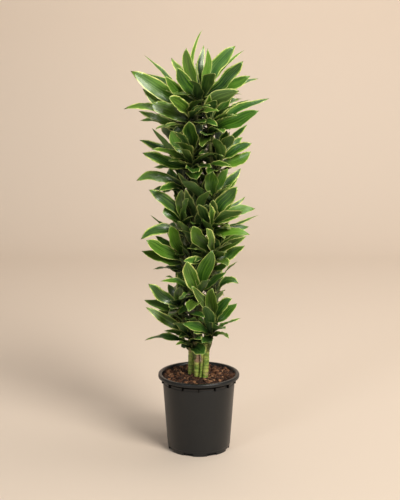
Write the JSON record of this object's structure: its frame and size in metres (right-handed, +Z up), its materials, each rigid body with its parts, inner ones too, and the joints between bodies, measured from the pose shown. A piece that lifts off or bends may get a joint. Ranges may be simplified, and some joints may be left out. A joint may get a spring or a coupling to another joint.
{
  "type": "potted corn plant",
  "caption": "Tall potted corn plant: green canes carrying heads of long yellow-edged striped leaves, standing in bark soil in a round black plastic nursery pot",
  "frame": {"origin": "centre of the pot's flat underside", "axes": "+Z up the plant, -Y the side the picture shows, +X to its right"},
  "size_m": [0.4631, 0.4084, 1.375],
  "materials": {
    "pot_plastic": "satin charcoal-black moulded plastic",
    "bark_soil": "loose reddish-brown bark and coir chips",
    "cane_skin": "green skin with tan ring scars",
    "leaf_blade": "waxy dark green with yellow-green margins"
  },
  "bodies": {
    "root": {"pot": "pot_plastic", "soil": "bark_soil", "cane_left": "cane_skin", "cane_middle": "cane_skin", "cane_right": "cane_skin", "cane_thin": "cane_skin", "leaves_crown": "leaf_blade", "leaves_upper_left": "leaf_blade", "leaves_upper_right": "leaf_blade", "leaves_breast": "leaf_blade", "leaves_mid_left": "leaf_blade", "leaves_mid_right": "leaf_blade", "leaves_waist_right": "leaf_blade", "leaves_waist_left": "leaf_blade", "leaves_belly_right": "leaf_blade", "leaves_belly_front": "leaf_blade", "leaves_belly_left": "leaf_blade", "leaves_lap": "leaf_blade", "leaves_hip_right": "leaf_blade", "leaves_knee_left": "leaf_blade", "leaves_knee_right": "leaf_blade", "leaves_ankle": "leaf_blade", "leaves_back_1": "leaf_blade", "leaves_back_2": "leaf_blade", "leaves_back_3": "leaf_blade", "leaves_back_4": "leaf_blade", "leaves_back_5": "leaf_blade", "leaves_back_6": "leaf_blade", "leaves_back_7": "leaf_blade", "leaves_back_8": "leaf_blade", "leaves_back_9": "leaf_blade", "leaves_back_10": "leaf_blade", "leaves_back_11": "leaf_blade", "leaves_back_12": "leaf_blade", "leaves_back_13": "leaf_blade", "leaves_back_14": "leaf_blade"}
  },
  "joints": []
}
